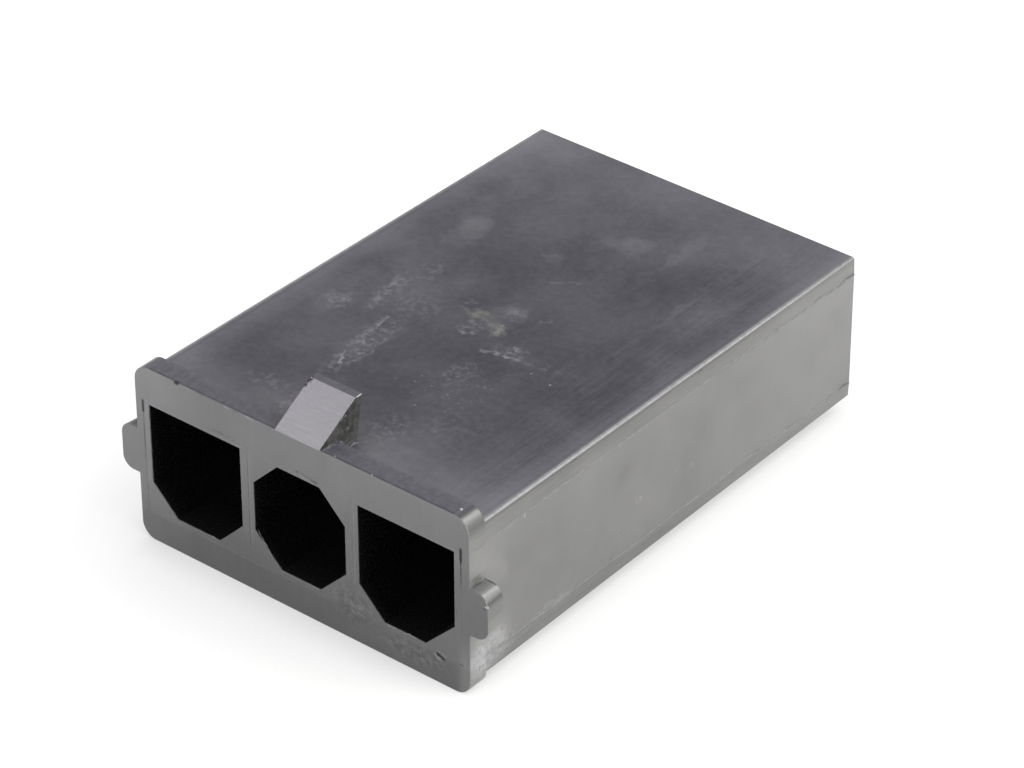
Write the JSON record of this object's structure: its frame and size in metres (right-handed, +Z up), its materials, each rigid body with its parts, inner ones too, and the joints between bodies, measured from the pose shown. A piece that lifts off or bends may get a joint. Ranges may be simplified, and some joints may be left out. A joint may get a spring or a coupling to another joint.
{
  "type": "wire to board connector housing",
  "caption": "Moulded power connector housing with keyed mouths in a collared front face, side ears, a latch ramp on top and wire entries behind.",
  "frame": {"origin": "under the middle of the housing, on the surface that it stands on", "axes": "+X along the row of circuits, +Y from the mating face to the wire side, +Z up to the latch ramp"},
  "size_m": [0.0348, 0.0464, 0.0177],
  "materials": {
    "housing": "satin moulded nylon with faint flow and draw marks"
  },
  "bodies": {
    "root": {"housing": "housing"}
  },
  "joints": []
}
